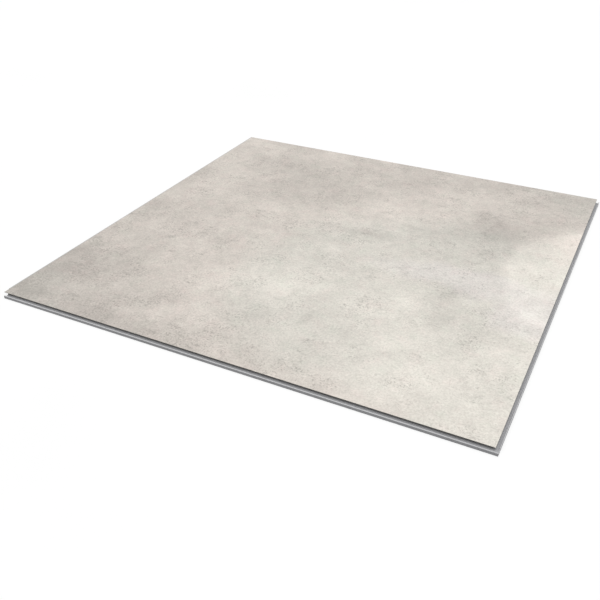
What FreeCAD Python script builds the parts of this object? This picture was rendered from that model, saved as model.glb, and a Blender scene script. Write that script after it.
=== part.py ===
"""Square click floor tile of vinyl: a grey core board with a decor sheet bonded on top.

The tile lies flat, face up. Origin: the middle of the face's square, on the underside. +X runs along
the front edge and +Y to the back edge, +Z is up. All sizes are in millimetres.

The front and right edges carry a groove under a thin top lip, and a longer bottom lip with a locking
ridge along its outer edge. The back and left edges carry the tongue and the foot that fill the groove
and the channel of the next tile, and a rebate over its ridge. Where a tongue edge meets a groove edge,
the board is cut away under the top lip. A section's heights count from the underside, and its
distances from the edge of the face.
"""

import FreeCAD, Part
import math
import os

import Sketcher

doc = FreeCAD.newDocument("vinyl_tile")

# Driving sizes

SIZES = [
    ("face_side", 610.0, "side of the square face, from visible edge to visible edge"),
    ("board_thickness", 5.0, "whole tile, decor sheet included"),
    ("decor_thickness", 0.35, "printed film and clear wear layer, pressed into one sheet"),
    ("top_lip", 0.5, "thickness of the top lip over a groove, decor sheet included"),
    ("mouth_taper", 0.3, "how far the groove's roof falls from its mouth to its end"),
    ("groove_depth", 2.8, "from the face's edge in to the end of the groove"),
    ("nose_radius", 0.75, "round at the end of the groove"),
    ("bed_radius", 5.0, "hollow that runs from the groove's end down to the channel"),
    ("floor_thickness", 1.35, "bottom lip under the channel"),
    ("ridge_height", 3.4, "top of the locking ridge over the underside"),
    ("ridge_lean", 0.3, "slope of the ridge's locking side, measured across"),
    ("ridge_round", 0.25, "round on the ridge's outer top edge"),
    ("front_reach", 5.25, "front bottom lip, out from the face's edge"),
    ("front_ridge", 1.35, "width of the front ridge's top"),
    ("right_reach", 4.1, "right bottom lip, out from the face's edge"),
    ("right_ridge", 0.75, "width of the right ridge's top"),
    ("corner_relief", 10.0, "how far a tongue and its foot stop short of the corner beside a groove"),
    ("joint_clearance", 0.1, "play between a tongue side and the groove side that it locks into"),
]

sheet = doc.addObject("Spreadsheet::Sheet", "Sizes")
for row, (alias, value, meaning) in enumerate(SIZES, start=1):
    sheet.set(f"A{row}", alias)
    sheet.set(f"B{row}", str(value))
    sheet.set(f"C{row}", meaning)
    sheet.setAlias(f"B{row}", alias)
doc.recompute()

# Heights and distances that several sections share, written in the sheet's values

HALF_FACE = "Sizes.face_side / 2"
OVER = "2 * Sizes.board_thickness"
LIP_UNDERSIDE = "Sizes.board_thickness - Sizes.top_lip"
NOSE_SETBACK = "(Sizes.groove_depth - Sizes.nose_radius)"
NOSE_MIDDLE = "(Sizes.board_thickness - Sizes.top_lip - Sizes.mouth_taper - Sizes.nose_radius)"
BED_DROP = "(Sizes.board_thickness - Sizes.top_lip - Sizes.mouth_taper - 2 * Sizes.nose_radius" \
           " - Sizes.floor_thickness)"
BED_RUN = f"sqrt(2 * Sizes.bed_radius * {BED_DROP} - {BED_DROP} ^ 2)"
PLAY = "Sizes.joint_clearance"


def origin_plane(body, role):
    """The body's own origin plane of that role, such as XY_Plane."""
    return next(feature for feature in body.Origin.OriginFeatures if feature.Role == role)


def new_sketch(body, name, role):
    sketch = body.newObject("Sketcher::SketchObject", name)
    sketch.AttachmentSupport = [(origin_plane(body, role), "")]
    sketch.MapMode = "FlatFace"
    return sketch


def pin_point(sketch, geometry, end, across, up):
    """Hold one end of an edge at (across, up) from the sketch's origin; both are expressions."""
    for kind, expression in (("DistanceX", across), ("DistanceY", up)):
        value = float(sketch.evalExpression(expression))
        if value == 0:
            axis = -2 if kind == "DistanceX" else -1
            sketch.addConstraint(Sketcher.Constraint("PointOnObject", geometry, end, axis))
        elif value > 0:
            index = sketch.addConstraint(Sketcher.Constraint(kind, -1, 1, geometry, end, value))
            sketch.setExpression(f"Constraints[{index}]", expression)
        else:
            index = sketch.addConstraint(Sketcher.Constraint(kind, geometry, end, -1, 1, -value))
            sketch.setExpression(f"Constraints[{index}]", f"-({expression})")


def arc_between(start, end, radius, bulge):
    """An arc of that radius between two points, and whether it runs anticlockwise from start to end.
    bulge is the rough direction from the chord to the arc's back."""
    chord = end - start
    outward = FreeCAD.Vector(-chord.y, chord.x, 0).normalize()
    anticlockwise = outward * bulge < 0
    if anticlockwise:
        outward = outward * -1
    centre = (start + end) / 2 - outward * (radius ** 2 - (chord.Length / 2) ** 2) ** 0.5
    first, last = (start, end) if anticlockwise else (end, start)
    first_angle = math.atan2(first.y - centre.y, first.x - centre.x)
    last_angle = math.atan2(last.y - centre.y, last.x - centre.x)
    if last_angle < first_angle:
        last_angle += 2 * math.pi
    circle = Part.Circle(centre, FreeCAD.Vector(0, 0, 1), radius)
    return Part.ArcOfCircle(circle, first_angle, last_angle), anticlockwise


def draw_outline(sketch, outline):
    """Draw a closed outline. Each entry is (across, up) for a corner where a straight edge starts, or
    (across, up, radius, bulge) where an arc starts."""
    corners = [FreeCAD.Vector(float(sketch.evalExpression(entry[0])),
                              float(sketch.evalExpression(entry[1])), 0) for entry in outline]
    starts = []
    ends = []
    for index, entry in enumerate(outline):
        start = corners[index]
        end = corners[(index + 1) % len(corners)]
        if len(entry) == 2:
            geometry = sketch.addGeometry(Part.LineSegment(start, end), False)
            starts.append((geometry, 1))
            ends.append((geometry, 2))
            continue
        radius = float(sketch.evalExpression(entry[2]))
        arc, forward = arc_between(start, end, radius, entry[3])
        geometry = sketch.addGeometry(arc, False)
        starts.append((geometry, 1 if forward else 2))
        ends.append((geometry, 2 if forward else 1))
        index_radius = sketch.addConstraint(Sketcher.Constraint("Radius", geometry, radius))
        sketch.setExpression(f"Constraints[{index_radius}]", entry[2])
    for index, entry in enumerate(outline):
        sketch.addConstraint(Sketcher.Constraint("Coincident", *ends[index - 1], *starts[index]))
        pin_point(sketch, *starts[index], entry[0], entry[1])


def rectangle(left, right, front, back):
    """Outline of a rectangle from the expressions of its four sides."""
    return [(left, front), (right, front), (right, back), (left, back)]


def groove_side(side, reach, ridge):
    """What is cut away at an edge with a groove. side is 1 where outward is the sketch's + side."""

    def out(distance):
        return f"{side} * ({HALF_FACE} + {distance})"

    outward = FreeCAD.Vector(side, 0, 0)
    up = FreeCAD.Vector(0, 1, 0)
    return [
        (out("0"), OVER),
        (out("0"), LIP_UNDERSIDE),
        (out(f"0 - {NOSE_SETBACK}"), f"{NOSE_MIDDLE} + Sizes.nose_radius",
         "Sizes.nose_radius", up - outward),
        (out("0 - Sizes.groove_depth"), NOSE_MIDDLE, "Sizes.nose_radius", -up - outward),
        (out(f"0 - {NOSE_SETBACK}"), f"{NOSE_MIDDLE} - Sizes.nose_radius",
         "Sizes.bed_radius", -up),
        (out(f"{BED_RUN} - {NOSE_SETBACK}"), "Sizes.floor_thickness"),
        (out(f"{reach} - {ridge} - Sizes.ridge_lean"), "Sizes.floor_thickness"),
        (out(f"{reach} - {ridge}"), "Sizes.ridge_height"),
        (out(f"{reach} - Sizes.ridge_round"), "Sizes.ridge_height",
         "Sizes.ridge_round", up + outward),
        (out(reach), "Sizes.ridge_height - Sizes.ridge_round"),
        (out(f"{reach} + Sizes.board_thickness"), "Sizes.ridge_height - Sizes.ridge_round"),
        (out(f"{reach} + Sizes.board_thickness"), OVER),
    ]


def tongue_side(side, reach, ridge):
    """What is cut away at an edge with a tongue, to lock into groove_side with the same values."""

    def out(distance):
        return f"{side} * ({HALF_FACE} + {distance})"

    outward = FreeCAD.Vector(side, 0, 0)
    up = FreeCAD.Vector(0, 1, 0)
    return [
        (out("0"), OVER),
        (out("0"), f"{LIP_UNDERSIDE} - {PLAY}"),
        (out(NOSE_SETBACK), f"{NOSE_MIDDLE} + Sizes.nose_radius - {PLAY}",
         f"Sizes.nose_radius - {PLAY}", up + outward),
        (out(f"Sizes.groove_depth - {PLAY}"), NOSE_MIDDLE,
         f"Sizes.nose_radius - {PLAY}", outward - up),
        (out(NOSE_SETBACK), f"{NOSE_MIDDLE} - Sizes.nose_radius + {PLAY}",
         f"Sizes.bed_radius - {PLAY}", -up),
        (out(f"{NOSE_SETBACK} - {BED_RUN}"), f"Sizes.floor_thickness + {PLAY}"),
        (out(f"{ridge} + Sizes.ridge_lean + {PLAY} - {reach}"), f"Sizes.floor_thickness + {PLAY}"),
        (out(f"{ridge} + {PLAY} - {reach}"), f"Sizes.ridge_height + {PLAY}"),
        (out(f"0 - {reach} - {PLAY}"), f"Sizes.ridge_height + {PLAY}"),
        (out(f"0 - {reach} - {PLAY}"), "0 - Sizes.board_thickness"),
        (out("Sizes.groove_depth + Sizes.board_thickness"), "0 - Sizes.board_thickness"),
        (out("Sizes.groove_depth + Sizes.board_thickness"), OVER),
    ]


def pad(body, name, sketch, length):
    feature = body.newObject("PartDesign::Pad", name)
    feature.Profile = sketch
    feature.setExpression("Length", length)
    return feature


def mill(body, name, sketch, forward, backward):
    """Cut the sketch's region out of the body, so far to each side of the sketch's plane."""
    feature = body.newObject("PartDesign::Pocket", name)
    feature.Profile = sketch
    feature.SideType = "Two sides"
    feature.Type = "Length"
    feature.Type2 = "Length"
    feature.setExpression("Length", forward)
    feature.setExpression("Length2", backward)
    return feature


# Core board: a blank as wide as the lips and tongues, with each edge milled along its whole length

core = doc.addObject("PartDesign::Body", "core_board")
core.Label = "core_board"

blank_sketch = new_sketch(core, "blank_outline", "XY_Plane")
draw_outline(blank_sketch, rectangle(
    f"0 - {HALF_FACE} - Sizes.groove_depth + {PLAY}",
    f"{HALF_FACE} + Sizes.right_reach",
    f"0 - {HALF_FACE} - Sizes.front_reach",
    f"{HALF_FACE} + Sizes.groove_depth - {PLAY}"))
pad(core, "blank", blank_sketch, "Sizes.board_thickness - Sizes.decor_thickness")

BEYOND = "(Sizes.front_reach + Sizes.right_reach + Sizes.groove_depth)"
WHOLE_EDGE = f"{HALF_FACE} + {BEYOND}"
TO_FRONT_RIDGE = f"{HALF_FACE} + Sizes.front_reach - Sizes.front_ridge - Sizes.ridge_lean"

front_sketch = new_sketch(core, "front_section", "YZ_Plane")
draw_outline(front_sketch, groove_side(-1, "Sizes.front_reach", "Sizes.front_ridge"))
mill(core, "front_groove", front_sketch, WHOLE_EDGE, WHOLE_EDGE)

# The right channel stops at the foot of the front ridge, which runs on to the corner.
right_sketch = new_sketch(core, "right_section", "XZ_Plane")
draw_outline(right_sketch, groove_side(1, "Sizes.right_reach", "Sizes.right_ridge"))
mill(core, "right_groove", right_sketch, WHOLE_EDGE, TO_FRONT_RIDGE)

back_sketch = new_sketch(core, "back_section", "YZ_Plane")
draw_outline(back_sketch, tongue_side(1, "Sizes.front_reach", "Sizes.front_ridge"))
mill(core, "back_tongue", back_sketch, WHOLE_EDGE, WHOLE_EDGE)

left_sketch = new_sketch(core, "left_section", "XZ_Plane")
draw_outline(left_sketch, tongue_side(-1, "Sizes.right_reach", "Sizes.right_ridge"))
mill(core, "left_tongue", left_sketch, WHOLE_EDGE, WHOLE_EDGE)

# Where a tongue edge meets a groove edge, everything under the top lip is cut away: the bottom lip ends
# clear of the foot of the tile beside it, and the tongue and its foot stop short of the corner.
left_corner_sketch = new_sketch(core, "front_left_corner", "XY_Plane")
draw_outline(left_corner_sketch, rectangle(
    f"0 - {HALF_FACE} - {BEYOND}", f"Sizes.right_reach + {PLAY} - {HALF_FACE}",
    f"0 - {HALF_FACE} - {BEYOND}", f"Sizes.corner_relief - {HALF_FACE}"))
mill(core, "front_left_relief", left_corner_sketch, "Sizes.board_thickness", LIP_UNDERSIDE)

right_corner_sketch = new_sketch(core, "back_right_corner", "XY_Plane")
draw_outline(right_corner_sketch, rectangle(
    f"{HALF_FACE} - Sizes.corner_relief", f"{HALF_FACE} + {BEYOND}",
    f"{HALF_FACE} - Sizes.front_reach - {PLAY}", f"{HALF_FACE} + {BEYOND}"))
mill(core, "back_right_relief", right_corner_sketch, "Sizes.board_thickness", LIP_UNDERSIDE)

# Decor sheet: as large as the face, bonded to the top of the core board

decor = doc.addObject("PartDesign::Body", "wear_layer")
decor.Label = "wear_layer"
face_sketch = new_sketch(decor, "face_outline", "XY_Plane")
draw_outline(face_sketch, rectangle(f"0 - {HALF_FACE}", HALF_FACE, f"0 - {HALF_FACE}", HALF_FACE))
pad(decor, "face", face_sketch, "Sizes.decor_thickness")
decor.setExpression("Placement.Base.z", "Sizes.board_thickness - Sizes.decor_thickness")

doc.recompute()

# Check, then write each piece

PIECES = [core, decor]

for item in doc.Objects:
    if "Invalid" in item.State or "Error" in item.State:
        raise RuntimeError(f"{item.Name} failed: {item.State}")
for piece in PIECES:
    if piece.Shape.isNull() or not piece.Shape.isValid():
        raise RuntimeError(f"{piece.Label} has no valid shape")

os.makedirs("parts", exist_ok=True)
for piece in PIECES:
    piece.Shape.exportStep(f"parts/{piece.Label}.step")
    box = piece.Shape.BoundBox
    print(f"{piece.Label}: {len(piece.Shape.Solids)} solid, volume {piece.Shape.Volume:.1f} mm3, "
          f"X {box.XMin:.3f} to {box.XMax:.3f}, Y {box.YMin:.3f} to {box.YMax:.3f}, "
          f"Z {box.ZMin:.3f} to {box.ZMax:.3f}")
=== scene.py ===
"""Looks of a square click floor tile: concrete-look print on its face, milled grey vinyl at its edges.

Metres. The tile lies face up on the floor, with its origin under the middle of the face.
"""

import math

import bpy
from mathutils import Matrix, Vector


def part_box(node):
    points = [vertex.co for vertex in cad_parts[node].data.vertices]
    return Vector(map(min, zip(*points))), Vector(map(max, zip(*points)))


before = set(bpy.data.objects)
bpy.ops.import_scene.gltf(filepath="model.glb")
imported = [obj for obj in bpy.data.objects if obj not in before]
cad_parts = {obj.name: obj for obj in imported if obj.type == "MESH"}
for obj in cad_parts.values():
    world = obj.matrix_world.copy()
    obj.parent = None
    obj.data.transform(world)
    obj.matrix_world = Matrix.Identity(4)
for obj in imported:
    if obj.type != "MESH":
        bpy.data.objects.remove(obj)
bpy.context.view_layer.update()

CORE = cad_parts["core_board"]
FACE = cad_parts["wear_layer"]

MM = 0.001
face_low, face_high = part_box("wear_layer")
SIDE = face_high[0] - face_low[0]
FACE_LEVEL = face_high[2]

WHITE = (1, 1, 1, 1)


def srgb(red, green, blue):
    """Linear colour, with alpha, of a colour given as 0 to 255 on screen."""
    levels = []
    for value in (red, green, blue):
        share = value / 255
        levels.append(share / 12.92 if share <= 0.04045 else ((share + 0.055) / 1.055) ** 2.4)
    return (*levels, 1)


# Shader helper

NOISE_MIDDLE = 0.5
NOISE_RANGE = (0.3, 0.7)


class Shader:
    """Builds one node material. Inputs are sockets or plain values, and most methods return a socket."""

    def __init__(self, name):
        self.material = bpy.data.materials.new(name)
        self.material.use_nodes = True
        self.tree = self.material.node_tree
        self.tree.nodes.clear()

    def node(self, kind, inputs=(), **settings):
        """A node with its settings; inputs are (name or number, socket or value)."""
        made = self.tree.nodes.new(kind)
        for name, value in settings.items():
            setattr(made, name, value)
        for key, value in inputs:
            if isinstance(value, bpy.types.NodeSocket):
                self.tree.links.new(value, made.inputs[key])
            else:
                made.inputs[key].default_value = value
        return made

    def math(self, operation, first, second=0.0):
        return self.node("ShaderNodeMath", [(0, first), (1, second)], operation=operation).outputs[0]

    def plus(self, first, second):
        return self.math("ADD", first, second)

    def minus(self, first, second):
        return self.math("SUBTRACT", first, second)

    def times(self, first, second):
        return self.math("MULTIPLY", first, second)

    def place(self):
        """Position in the tile's own frame."""
        return self.node("ShaderNodeTexCoord").outputs["Object"]

    def facing_up(self):
        """1 where the surface faces up, 0 where it is upright, -1 where it faces down."""
        return self.split(self.node("ShaderNodeNewGeometry").outputs["True Normal"])[2]

    def split(self, vector):
        return self.node("ShaderNodeSeparateXYZ", [(0, vector)]).outputs

    def move(self, vector, offset=(0, 0, 0), scale=(1, 1, 1)):
        """vector times scale, plus offset."""
        scaled = self.node("ShaderNodeVectorMath", [(0, vector), (1, scale)], operation="MULTIPLY")
        return self.node("ShaderNodeVectorMath", [(0, scaled.outputs[0]), (1, offset)],
                         operation="ADD").outputs[0]

    def noise(self, vector, size, detail=2.0, roughness=0.5, distortion=0.0,
              offset=(0, 0, 0), stretch=(1, 1, 1)):
        """Noise from 0 to 1, about NOISE_MIDDLE and mostly in NOISE_RANGE, with lumps of about size metres.

        It is read at the vector times stretch, plus offset.
        """
        if offset != (0, 0, 0) or stretch != (1, 1, 1):
            vector = self.move(vector, offset, stretch)
        return self.node("ShaderNodeTexNoise",
                         [("Vector", vector), ("Scale", 1 / size), ("Detail", detail),
                          ("Roughness", roughness), ("Distortion", distortion)]).outputs["Fac"]

    def swing(self, noise, amount):
        """Turn a noise into one about 0 that swings by amount."""
        return self.times(self.minus(noise, NOISE_MIDDLE), 2 * amount)

    def fade(self, value, low, high, at_low=0.0, at_high=1.0, smooth="SMOOTHSTEP"):
        """at_low up to the value low, at_high from the value high on, and a gradual change between."""
        return self.node("ShaderNodeMapRange",
                         [("Value", value), ("From Min", low), ("From Max", high),
                          ("To Min", at_low), ("To Max", at_high)],
                         interpolation_type=smooth).outputs["Result"]

    def ramp(self, value, stops):
        """Colour from (position, colour) stops, the colours as 0 to 255 on screen."""
        made = self.node("ShaderNodeValToRGB", [("Fac", value)])
        elements = made.color_ramp.elements
        while len(elements) < len(stops):
            elements.new(0.5)
        for element, (position, colour) in zip(elements, stops):
            element.position = position
            element.color = srgb(*colour)
        return made.outputs["Color"]

    def blend(self, amount, first, second, mode="MIX"):
        made = self.node("ShaderNodeMix", data_type="RGBA", blend_type=mode)
        for name, value in (("Factor_Float", amount), ("A_Color", first), ("B_Color", second)):
            socket = next(item for item in made.inputs if item.identifier == name)
            if isinstance(value, bpy.types.NodeSocket):
                self.tree.links.new(value, socket)
            else:
                socket.default_value = value
        return next(item for item in made.outputs if item.identifier == "Result_Color")

    def bump(self, height, strength, distance):
        return self.node("ShaderNodeBump", [("Height", height), ("Strength", strength),
                                            ("Distance", distance)]).outputs["Normal"]

    def finish(self, colour, roughness, normal, specular):
        """The finished material."""
        surface = self.node("ShaderNodeBsdfPrincipled",
                            [("Base Color", colour), ("Roughness", roughness), ("Normal", normal),
                             ("Specular IOR Level", specular)])
        self.node("ShaderNodeOutputMaterial", [("Surface", surface.outputs[0])])
        return self.material


# Face: concrete-look print under an embossed matte wear layer

# Broad patches of the print: middle (x, y), half-widths, turn in degrees, and change of
# level out of 255
PATCHES = [
    ((-0.30, 0.23), (0.11, 0.16), 0, 13),
    ((-0.29, 0.13), (0.05, 0.05), 0, -9),
    ((0.27, 0.31), (0.22, 0.14), 0, -24),
    ((0.29, 0.29), (0.06, 0.05), 0, -9),
    ((0.19, 0.14), (0.12, 0.10), -15, -19),
    ((-0.08, 0.17), (0.14, 0.08), -25, -14),
    ((-0.20, 0.22), (0.10, 0.08), -10, -12),
    ((0.03, 0.25), (0.12, 0.06), 0, -15),
    ((0.02, -0.12), (0.22, 0.12), -10, 10),
    ((-0.03, -0.13), (0.12, 0.07), 10, 5),
    ((0.09, 0.13), (0.07, 0.06), 0, 8),
    ((0.12, 0.08), (0.08, 0.03), 15, -9),
    ((0.08, -0.03), (0.05, 0.04), 0, -6),
    ((0.20, -0.10), (0.06, 0.06), 0, -9),
    ((0.30, -0.17), (0.06, 0.09), 0, 12),
    ((0.23, -0.25), (0.15, 0.11), 0, 15),
    ((-0.31, -0.24), (0.11, 0.13), 0, -25),
    ((-0.14, -0.31), (0.12, 0.06), 0, -13),
    ((0.00, -0.27), (0.11, 0.05), 0, -10),
    ((-0.10, 0.035), (0.06, 0.04), 0, 9),
    ((0.06, 0.035), (0.08, 0.03), 0, -8),
    ((0.03, -0.03), (0.05, 0.03), 0, 6),
    ((-0.03, 0.215), (0.05, 0.04), 0, 9),
    ((0.29, 0.21), (0.06, 0.05), 0, -10),
    ((0.09, -0.15), (0.04, 0.03), 0, 8),
    ((-0.03, -0.21), (0.05, 0.04), 0, -7),
    ((-0.15, -0.215), (0.05, 0.04), 0, -8),
    ((0.12, -0.22), (0.07, 0.03), 0, -6),
    ((-0.22, 0.0), (0.06, 0.06), 0, -5),
    ((-0.09, 0.09), (0.05, 0.03), 0, -5),
    ((0.07, 0.28), (0.06, 0.03), 0, 5),
    ((-0.28, -0.14), (0.06, 0.04), 0, 11),
    ((0.29, -0.03), (0.06, 0.04), 0, -9),
    ((0.16, 0.11), (0.06, 0.06), 0, -4),
    ((0.08, -0.09), (0.05, 0.03), 0, 4),
    ((0.29, -0.22), (0.06, 0.05), 0, -7),
]

# Finger-sized smudges, in the same order
SMUDGES = [
    ((0.035, 0.040), (0.050, 0.009), 0, -8),
    ((0.095, 0.088), (0.045, 0.009), 0, -7),
    ((0.188, -0.065), (0.020, 0.022), 0, -9),
    ((0.195, -0.125), (0.018, 0.020), 0, -12),
    ((0.145, -0.108), (0.018, 0.018), 0, 9),
    ((-0.108, -0.003), (0.022, 0.012), 0, -7),
    ((0.052, -0.194), (0.007, 0.020), 0, -13),
    ((-0.009, -0.200), (0.022, 0.026), 0, -4),
    ((0.195, 0.145), (0.055, 0.030), 0, -6),
    ((0.200, 0.058), (0.014, 0.014), 0, -11),
    ((-0.280, -0.060), (0.030, 0.050), 0, -6),
    ((-0.182, 0.213), (0.020, 0.016), 0, -9),
]

# Share of these changes that is used, and the reach at which a patch has faded out
PATCH_STRENGTH = 0.95
PATCH_REACH = 1.3

# The palest patch, with a firmer rim than the others
PALE_PATCH = ((0.33, 0.045), (0.108, 0.140), 0)
PALE_CHANGE = 18
PALE_RIM = (0.85, 1.06)

# Brightness, out of 255: in the middle of the face before the patches, its rise for each metre to the
# right, and the range that is turned into greys
PRINT_LEVEL = 208.4
RISE_TO_RIGHT = 34
LEVEL_LOW = 165
LEVEL_HIGH = 245
LEVEL_STEPS = 8

# How the rims of patches wander: size of the noise that pushes them about, and how far it does
PATCH_WANDER = (0.13, 0.05)
PALE_WANDER = (0.10, 0.025)
TROWEL_WANDER = (0.05, 0.010)
HUE_WANDER = (0.09, 0.05)
HUE_WANDER_OFFSET = (0.31, 0.17, 0)
WANDER_DETAIL = 7.0
WANDER_ROUGHNESS = 0.66

# Mottling, from hand-sized patches down to grain: size, detail, roughness, spread of the noise over
# which the level changes, change of level, and the offset at which the noise is read. The offsets of the
# first three bring their lumps about where the real print has some.
MOTTLING = [
    (0.17, 7.0, 0.66, 0.09, 3.8, (-0.364, 3.234)),
    (0.080, 6.0, 0.66, 0.09, 3.2, (-6.676, -7.076)),
    (0.035, 5.0, 0.66, 0.10, 2.7, (-1.083, 1.463)),
    (0.010, 3.0, 0.6, 0.15, 2.4, (0.8, 0.8)),
    (0.0022, 2.0, 0.5, 0.30, 11.0, (2.6, 2.6)),
]

# Rough and smooth zones: their noise, and its values where smooth ends and rough begins
ZONES = {"size": 0.045, "detail": 6.0, "roughness": 0.7, "offset": (2.3, 0.4, 0)}
ZONE_RIM = (0.47, 0.60)
ROUGH_IN_DARK = 0.0014

# Kinds of small marks: the noise that draws them, and its values between which they fade in
FINE_PITS = ({"size": 0.0024, "detail": 1.0, "roughness": 0.6, "offset": (0.7, 0.2, 0)}, 0.57, 0.66)
WIDE_PITS = ({"size": 0.0055, "detail": 3.0, "roughness": 0.65, "distortion": 0.6,
              "offset": (0.1, 0.9, 0)}, 0.59, 0.67)
FLECKS = ({"size": 0.010, "detail": 4.0, "roughness": 0.7, "distortion": 0.8,
           "offset": (4.4, 6.1, 0), "stretch": (1, 1.4, 1)}, 0.555, 0.60)
SMEARS = ({"size": 0.030, "detail": 5.0, "roughness": 0.65, "distortion": 0.5,
           "stretch": (1, 2.6, 1)}, 0.57, 0.66)
HAIRLINE_PLACES = ({"size": 0.03, "offset": (8.8, 1.1, 0)}, 0.60, 0.68)

# Hairlines follow the contour at this noise's middle value, and fade out beside it
HAIRLINE_NOISE = {"size": 0.028, "detail": 3.0, "roughness": 0.6, "distortion": 0.3,
                  "offset": (5.2, 3.3, 0)}
HAIRLINE_RIM = (0.004, 0.014)

# How much darker the small marks are, out of 255, and the share of them that is left in smooth zones
PIT_DEPTH = 27.0
FLECK_DEPTH = 12.0
SMEAR_DEPTH = 9.0
HAIRLINE_DEPTH = 15.0
PITS_IN_SMOOTH = 0.2
FLECKS_IN_SMOOTH = 0.35

# Hues of the print, each as an example of its colour
WARM = (211.8, 204, 195.6)
CREAM = (219.6, 215, 205.8)
LILAC = (229, 223.5, 217)

# Patches of the two cooler hues: middle, half-widths and turn, and for cream how far the hue is taken there
CREAM_PATCHES = [
    (((0.17, -0.09), (0.26, 0.22), 0), 1.0),
    (((-0.33, -0.32), (0.12, 0.10), 0), 0.5),
    (((0.33, 0.33), (0.12, 0.11), 0), 0.5),
    (((0.34, -0.31), (0.13, 0.10), 0), 1.0),
]
LILAC_PATCHES = [
    ((0.19, -0.02), (0.12, 0.040), 0),
    ((0.29, -0.07), (0.06, 0.05), 0),
]
CREAM_RIM = (0.80, 1.12)
LILAC_RIM = (0.5, 1.2)

# Blotches that drift a little to either side of these hues, fully so from these values of the noise on
BLOTCHES = {"size": 0.020, "detail": 5.0, "roughness": 0.75, "offset": (9.1, 4.2, 0)}
REDDER_FROM = 0.68
REDDER = (1.020, 0.993, 0.999, 1)
GREENER_FROM = 0.32
GREENER = (0.982, 1.005, 0.993, 1)

# The cut rim of the sheet shows its plain vinyl, made darker as painted shade; it turns to print as the
# surface turns upward
RIM_TO_TOP = (0.3, 0.9)
RIM_SIZE = 0.003
RIM_VINYL_SHADED_DARK = (126, 122, 112)
RIM_VINYL_SHADED_PALE = (146, 142, 131)

# Emboss and sheen
FACE_GRAIN = {"size": 0.0022, "detail": 4.0, "roughness": 0.6}
FACE_SWELL = {"size": 0.014, "detail": 3.0, "roughness": 0.55}
GRAIN_SHARE = 0.6
SWELL_SHARE = 0.6
PIT_SHARE = 0.5
EMBOSS_STRENGTH = 0.35
EMBOSS_DEPTH = 0.25 * MM
FACE_ROUGHNESS = (0.5, 0.66)
FACE_SPECULAR = 0.35


def tint(colour):
    """What turns a grey into the hue of a colour, as linear shares with alpha."""
    red, green, blue, _ = srgb(*colour)
    grey = 0.2126 * red + 0.7152 * green + 0.0722 * blue
    return (red / grey, green / grey, blue / grey, 1)


def reach_of(shader, vector, patch):
    """Distance from the middle of a patch, 1 at its rim.

    No Mapping nodes: with this many patches they would overfill the renderer's shader stack, which turns
    the whole face black.
    """
    middle, halves, turn = patch
    if turn:
        vector = shader.node("ShaderNodeVectorRotate",
                             [("Vector", vector), ("Center", (*middle, 0)), ("Angle", -math.radians(turn))],
                             rotation_type="Z_AXIS").outputs[0]
    x, y = middle
    half_x, half_y = halves
    local = shader.move(vector, (-x / half_x, -y / half_y, 0), (1 / half_x, 1 / half_y, 1))
    return shader.node("ShaderNodeVectorMath", [(0, local)], operation="LENGTH").outputs["Value"]


def warped_place(shader, place, wander):
    """The place, pushed about so that the rims of patches wander."""
    size, amount = wander
    push = shader.node("ShaderNodeTexNoise",
                       [("Vector", place), ("Scale", 1 / size), ("Detail", WANDER_DETAIL),
                        ("Roughness", WANDER_ROUGHNESS)]).outputs["Color"]
    centred = shader.move(push, (-NOISE_MIDDLE,) * 3)
    return shader.node("ShaderNodeVectorMath", [(0, centred), (1, (2 * amount,) * 3), (2, place)],
                       operation="MULTIPLY_ADD").outputs[0]


def add_patches(shader, place, level, patches):
    for middle, halves, turn, change in patches:
        reach = reach_of(shader, place, (middle, halves, turn))
        level = shader.plus(level, shader.fade(reach, 0, PATCH_REACH, PATCH_STRENGTH * change, 0))
    return level


def marks(shader, place, kind):
    """1 on the marks of a kind, 0 beside them."""
    noise, low, high = kind
    return shader.fade(shader.noise(place, **noise), low, high)


def darken(shader, level, mask, depth):
    return shader.minus(level, shader.times(mask, depth))


def broad_level(shader, place):
    """Slow changes of the face's brightness, out of 255: a steady rise to the right, and the patches."""
    x, _, _ = shader.split(place)
    warped = warped_place(shader, place, PATCH_WANDER)
    level = shader.plus(shader.times(x, RISE_TO_RIGHT), PRINT_LEVEL)
    level = add_patches(shader, warped, level, PATCHES)
    pale = reach_of(shader, warped_place(shader, place, PALE_WANDER), PALE_PATCH)
    return shader.plus(level, shader.fade(pale, *PALE_RIM, PALE_CHANGE, 0))


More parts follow.
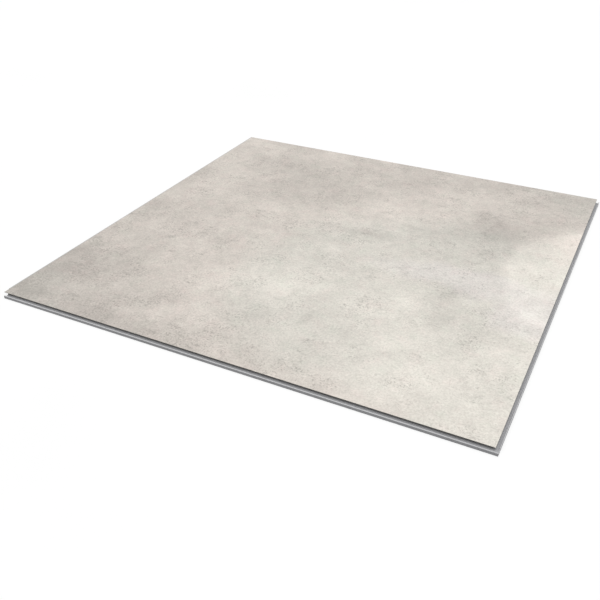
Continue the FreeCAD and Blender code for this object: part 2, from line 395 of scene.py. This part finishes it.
def print_level(shader, place):
    """Brightness of the print, out of 255, and a mask of the pits in its relief."""
    level = broad_level(shader, place)

    # The trowel smears the smudges and the mottling a little
    smeared = warped_place(shader, place, TROWEL_WANDER)
    level = add_patches(shader, smeared, level, SMUDGES)
    darker = shader.times(shader.minus(PRINT_LEVEL, level), ROUGH_IN_DARK)
    for size, detail, roughness, spread, change, offset in MOTTLING:
        lumps = shader.noise(smeared, size, detail, roughness, offset=(*offset, 0))
        low = NOISE_MIDDLE - spread
        high = NOISE_MIDDLE + spread
        level = shader.plus(level, shader.fade(lumps, low, high, -change, change))

    # Rough zones are full of small dark pits, smooth zones have few, and dark places are rougher. The
    # relief's pits leave the darkness out, which keeps the patches out of the bump.
    zone = shader.noise(smeared, **ZONES)
    rough = shader.fade(shader.plus(zone, darker), *ZONE_RIM)
    spots = shader.math("MAXIMUM", marks(shader, place, FINE_PITS), marks(shader, place, WIDE_PITS))
    relief_pits = shader.times(spots, shader.fade(zone, *ZONE_RIM, PITS_IN_SMOOTH, 1))
    pits = shader.times(spots, shader.fade(rough, 0, 1, PITS_IN_SMOOTH, 1, "LINEAR"))
    level = darken(shader, level, pits, PIT_DEPTH)

    # Ragged flecks, short dark smears and hairlines
    flecks = shader.times(marks(shader, smeared, FLECKS),
                          shader.fade(rough, 0, 1, FLECKS_IN_SMOOTH, 1, "LINEAR"))
    level = darken(shader, level, flecks, FLECK_DEPTH)
    smears = shader.times(marks(shader, smeared, SMEARS), rough)
    level = darken(shader, level, smears, SMEAR_DEPTH)
    off_line = shader.math("ABSOLUTE", shader.minus(shader.noise(place, **HAIRLINE_NOISE), NOISE_MIDDLE))
    hairlines = shader.times(shader.fade(off_line, *HAIRLINE_RIM, 1, 0),
                             marks(shader, place, HAIRLINE_PLACES))
    level = darken(shader, level, hairlines, HAIRLINE_DEPTH)
    return level, relief_pits


def print_colour(shader, place, level):
    """The level as a grey, times the hue of its place."""
    share = shader.fade(level, LEVEL_LOW, LEVEL_HIGH, smooth="LINEAR")
    greys = []
    for step in range(LEVEL_STEPS + 1):
        value = LEVEL_LOW + (LEVEL_HIGH - LEVEL_LOW) * step / LEVEL_STEPS
        greys.append((step / LEVEL_STEPS, (value, value, value)))
    grey = shader.ramp(share, greys)

    warped = warped_place(shader, shader.move(place, HUE_WANDER_OFFSET), HUE_WANDER)
    warped = shader.move(warped, tuple(-part for part in HUE_WANDER_OFFSET))
    hue = tint(WARM)
    for patch, share_taken in CREAM_PATCHES:
        cream = shader.fade(reach_of(shader, warped, patch), *CREAM_RIM, share_taken, 0)
        hue = shader.blend(cream, hue, tint(CREAM))
    for patch in LILAC_PATCHES:
        lilac = shader.fade(reach_of(shader, warped, patch), *LILAC_RIM, 1, 0)
        hue = shader.blend(lilac, hue, tint(LILAC))

    blotches = shader.noise(place, **BLOTCHES)
    for limit, drift in ((REDDER_FROM, REDDER), (GREENER_FROM, GREENER)):
        hue = shader.blend(shader.fade(blotches, NOISE_MIDDLE, limit), hue, drift, "MULTIPLY")
    return shader.blend(1.0, grey, hue, "MULTIPLY")


def face_material():
    shader = Shader("concrete_print")
    place = shader.place()
    level, pits = print_level(shader, place)
    colour = print_colour(shader, place, level)

    # Upright rim: plain vinyl, darkened as painted shade; up-facing surfaces show the print
    on_top = shader.fade(shader.facing_up(), *RIM_TO_TOP)
    rim_low, rim_high = NOISE_RANGE
    rim = shader.ramp(shader.noise(place, RIM_SIZE), [(rim_low, RIM_VINYL_SHADED_DARK), (rim_high, RIM_VINYL_SHADED_PALE)])
    colour = shader.blend(on_top, rim, colour)

    grain = shader.noise(place, **FACE_GRAIN)
    swell = shader.noise(place, **FACE_SWELL)
    relief = shader.plus(shader.times(grain, GRAIN_SHARE), shader.times(swell, SWELL_SHARE))
    relief = shader.minus(relief, shader.times(pits, PIT_SHARE))
    normal = shader.bump(relief, EMBOSS_STRENGTH, EMBOSS_DEPTH)
    roughness = shader.fade(grain, *NOISE_RANGE, *FACE_ROUGHNESS, "LINEAR")
    return shader.finish(colour, roughness, normal, FACE_SPECULAR)


# Core: grey filled vinyl, sawn and milled

# Streaks along the cut, grain and clouds, with how much each swings the tone. The streaks' noise is
# squeezed along the cut, which draws it out there.
STREAKS = {"size": 0.0007, "detail": 3.0, "roughness": 0.6}
STREAK_SQUEEZE = 0.06
STREAK_SWING = 0.25
CORE_GRAIN = {"size": 0.0009, "detail": 3.0, "roughness": 0.7}
CORE_GRAIN_SWING = 0.3
CORE_CLOUDS = {"size": 0.02, "detail": 3.0}
CLOUD_SWING = 0.2
CORE_TONES = [(0.0, (168, 168, 170)), (0.5, (188, 188, 190)), (1.0, (204, 204, 206))]
MIDDLE_TONE = 0.5

# Pale specks of filler: spacing, rim as a share of it, how rare they are, strength and colour
SPECK_SPACING = 0.0016
SPECK_RIM = (0.15, 0.35)
SPECK_CHANCE = (0.8, 0.95)
SPECK_STRENGTH = 0.5
SPECK_COLOUR = (222, 221, 218)

# Painted shade: the grooves and the roots of the tongues are coloured darker above one height, and this
# fades out over a range that counts outward from the face's side. The low floors get less painted shade.
PAINTED_SHADE_COLOUR = (92, 91, 88)
GROOVE_SHADE_AMOUNT = 0.65
GROOVE_SHADE_RIM = (-1.6 * MM, 1.0 * MM)
GROOVE_SHADE_ABOVE = 1.0 * MM
CHANNEL_SHADE = 0.16
CHANNEL_TOP = (1.6 * MM, 2.0 * MM)

# Painted highlight: the tops of the ridges are coloured paler, from this range of heights on
PAINTED_HIGHLIGHT_COLOUR = (222, 222, 222)
RIDGE_HIGHLIGHT_AMOUNT = 0.22
RIDGE_TOP = (3.0 * MM, 3.3 * MM)

# How far upward a surface faces before it counts as a floor or a top
FACES_UP = (0.5, 0.9)

# Milling marks and sheen
STREAK_SHARE = 0.7
CORE_GRAIN_SHARE = 0.5
MILLING_STRENGTH = 0.4
MILLING_DEPTH = 0.06 * MM
CORE_ROUGHNESS = (0.55, 0.75)
CORE_SPECULAR = 0.3


def core_material():
    shader = Shader("milled_vinyl")
    place = shader.place()
    x, y, height = shader.split(place)
    from_middle_x = shader.math("ABSOLUTE", x)
    from_middle_y = shader.math("ABSOLUTE", y)

    # The front and back edges run along x, the other two along y
    along_x = shader.math("GREATER_THAN", from_middle_y, from_middle_x)
    streaks_x = shader.noise(place, **STREAKS, stretch=(STREAK_SQUEEZE, 1, 1))
    streaks_y = shader.noise(place, **STREAKS, stretch=(1, STREAK_SQUEEZE, 1))
    streaks = shader.node("ShaderNodeMix", [(0, along_x), (2, streaks_y), (3, streaks_x)],
                          data_type="FLOAT").outputs[0]
    grain = shader.noise(place, **CORE_GRAIN)
    clouds = shader.noise(place, **CORE_CLOUDS)

    tone = shader.plus(shader.swing(streaks, STREAK_SWING), shader.swing(clouds, CLOUD_SWING))
    tone = shader.plus(tone, shader.swing(grain, CORE_GRAIN_SWING))
    colour = shader.ramp(shader.plus(tone, MIDDLE_TONE), CORE_TONES)

    cells = shader.node("ShaderNodeTexVoronoi", [("Vector", place), ("Scale", 1 / SPECK_SPACING)])
    chance = shader.split(cells.outputs["Color"])[0]
    specks = shader.times(shader.fade(cells.outputs["Distance"], *SPECK_RIM, 1, 0),
                          shader.fade(chance, *SPECK_CHANCE))
    colour = shader.blend(shader.times(specks, SPECK_STRENGTH), colour, srgb(*SPECK_COLOUR))

    # Painted shade: darker in the grooves, under the lip and on the low floors between the ridges
    outward = shader.minus(shader.math("MAXIMUM", from_middle_x, from_middle_y), SIDE / 2)
    groove_shade = shader.times(shader.fade(outward, *GROOVE_SHADE_RIM, GROOVE_SHADE_AMOUNT, 0),
                           shader.math("GREATER_THAN", height, GROOVE_SHADE_ABOVE))
    facing_up = shader.fade(shader.facing_up(), *FACES_UP)
    channel = shader.times(facing_up, shader.fade(height, *CHANNEL_TOP, CHANNEL_SHADE, 0))
    colour = shader.blend(shader.math("MAXIMUM", groove_shade, channel), colour, srgb(*PAINTED_SHADE_COLOUR))

    # Painted highlight on the up-facing tops of the ridges
    ridge_top = shader.times(facing_up, shader.fade(height, *RIDGE_TOP, 0, RIDGE_HIGHLIGHT_AMOUNT))
    colour = shader.blend(ridge_top, colour, srgb(*PAINTED_HIGHLIGHT_COLOUR))

    relief = shader.plus(shader.times(streaks, STREAK_SHARE), shader.times(grain, CORE_GRAIN_SHARE))
    normal = shader.bump(relief, MILLING_STRENGTH, MILLING_DEPTH)
    roughness = shader.fade(grain, *NOISE_RANGE, *CORE_ROUGHNESS, "LINEAR")
    return shader.finish(colour, roughness, normal, CORE_SPECULAR)


def dress(node, material):
    node.data.materials.clear()
    node.data.materials.append(material)


dress(CORE, core_material())
dress(FACE, face_material())


# Floor, world and lamp

FLOOR_SIZE = 12.0
FLOOR_DROP = 0.02 * MM
FLOOR_TONE = 0.28
FLOOR_DRIFT = 0.01
FLOOR_CLOUDS = {"size": 0.4, "detail": 3.0}
FLOOR_GLOW = 0.73
SKY_HORIZON = 0.0
SKY_ZENITH = 1.35
SUN_LEVEL = 0.10
SUN_SOFTNESS = math.radians(50)
SUN_TILT_BACK = math.radians(-16)
SUN_TILT_SIDE = math.radians(-4)
SUN_PLACE = (0, 0, 2)


def seen_directly(shader_tree):
    """1 for a ray from the camera, or one that a glossy or clear surface sends on."""
    path = shader_tree.nodes.new("ShaderNodeLightPath")
    total = path.outputs["Is Camera Ray"]
    for name in ("Is Glossy Ray", "Is Transmission Ray"):
        joined = shader_tree.nodes.new("ShaderNodeMath")
        joined.operation = "MAXIMUM"
        shader_tree.links.new(total, joined.inputs[0])
        shader_tree.links.new(path.outputs[name], joined.inputs[1])
        total = joined.outputs[0]
    return total


def make_floor():
    """A pale floor just under the tile, which glows where it is seen directly and keeps the shadow."""
    half = FLOOR_SIZE / 2
    mesh = bpy.data.meshes.new("floor")
    mesh.from_pydata([(-half, -half, 0), (half, -half, 0), (half, half, 0), (-half, half, 0)],
                     [], [(0, 1, 2, 3)])
    floor = bpy.data.objects.new("floor", mesh)
    floor.location.z = -FLOOR_DROP
    bpy.context.collection.objects.link(floor)

    shader = Shader("pale_floor")
    clouds = shader.noise(shader.place(), **FLOOR_CLOUDS)
    tone = shader.fade(clouds, *NOISE_RANGE, FLOOR_TONE - FLOOR_DRIFT, FLOOR_TONE + FLOOR_DRIFT, "LINEAR")
    diffuse = shader.node("ShaderNodeBsdfDiffuse", [("Color", tone)])
    strength = shader.times(seen_directly(shader.tree), FLOOR_GLOW)
    glow = shader.node("ShaderNodeEmission", [("Color", WHITE), ("Strength", strength)])
    both = shader.node("ShaderNodeAddShader", [(0, diffuse.outputs[0]), (1, glow.outputs[0])])
    shader.node("ShaderNodeOutputMaterial", [("Surface", both.outputs[0])])
    mesh.materials.append(shader.material)


def make_world():
    """A soft sky, brightest overhead; seen directly it is plain white."""
    world = bpy.data.worlds.new("studio")
    bpy.context.scene.world = world
    world.use_nodes = True
    tree = world.node_tree
    tree.nodes.clear()
    background = tree.nodes.new("ShaderNodeBackground")
    output = tree.nodes.new("ShaderNodeOutputWorld")
    direction = tree.nodes.new("ShaderNodeTexCoord")
    height = tree.nodes.new("ShaderNodeSeparateXYZ")
    tree.links.new(direction.outputs["Generated"], height.inputs[0])
    sky = tree.nodes.new("ShaderNodeMapRange")
    sky.inputs["To Min"].default_value = SKY_HORIZON
    sky.inputs["To Max"].default_value = SKY_ZENITH
    tree.links.new(height.outputs["Z"], sky.inputs["Value"])
    level = tree.nodes.new("ShaderNodeMapRange")
    level.inputs["To Max"].default_value = 1.0
    tree.links.new(sky.outputs["Result"], level.inputs["To Min"])
    tree.links.new(seen_directly(tree), level.inputs["Value"])
    tree.links.new(level.outputs["Result"], background.inputs["Strength"])
    background.inputs["Color"].default_value = WHITE
    tree.links.new(background.outputs[0], output.inputs["Surface"])


def make_lamp():
    lamp = bpy.data.lights.new("soft_overhead", "SUN")
    lamp.energy = SUN_LEVEL * math.pi
    lamp.angle = SUN_SOFTNESS
    holder = bpy.data.objects.new("soft_overhead", lamp)
    holder.rotation_euler = (SUN_TILT_BACK, SUN_TILT_SIDE, 0)
    holder.location = SUN_PLACE
    bpy.context.collection.objects.link(holder)


# Camera, worked out from the four corners of the face in the photograph; its place is in sides of the
# face, from the middle of the face

CAMERA_PLACE = (0.61741, -1.38533, 0.79463)
CAMERA_TURN = math.radians(26.865)
CAMERA_PITCH = math.radians(32.188)
CAMERA_ROLL = math.radians(-0.09)
LENS = 45.16
SENSOR = 36.0
CLIP_START = 0.01


def make_camera():
    data = bpy.data.cameras.new("camera")
    data.lens = LENS
    data.sensor_width = SENSOR
    data.clip_start = CLIP_START
    camera = bpy.data.objects.new("camera", data)
    x, y, z = (share * SIDE for share in CAMERA_PLACE)
    turn = Matrix.Rotation(CAMERA_TURN, 4, "Z")
    tilt = Matrix.Rotation(math.pi / 2 - CAMERA_PITCH, 4, "X")
    roll = Matrix.Rotation(CAMERA_ROLL, 4, "Z")
    camera.matrix_world = Matrix.Translation((x, y, z + FACE_LEVEL)) @ turn @ tilt @ roll
    bpy.context.collection.objects.link(camera)
    bpy.context.scene.camera = camera


make_floor()
make_world()
make_lamp()
make_camera()

bpy.context.scene.view_settings.view_transform = "Standard"
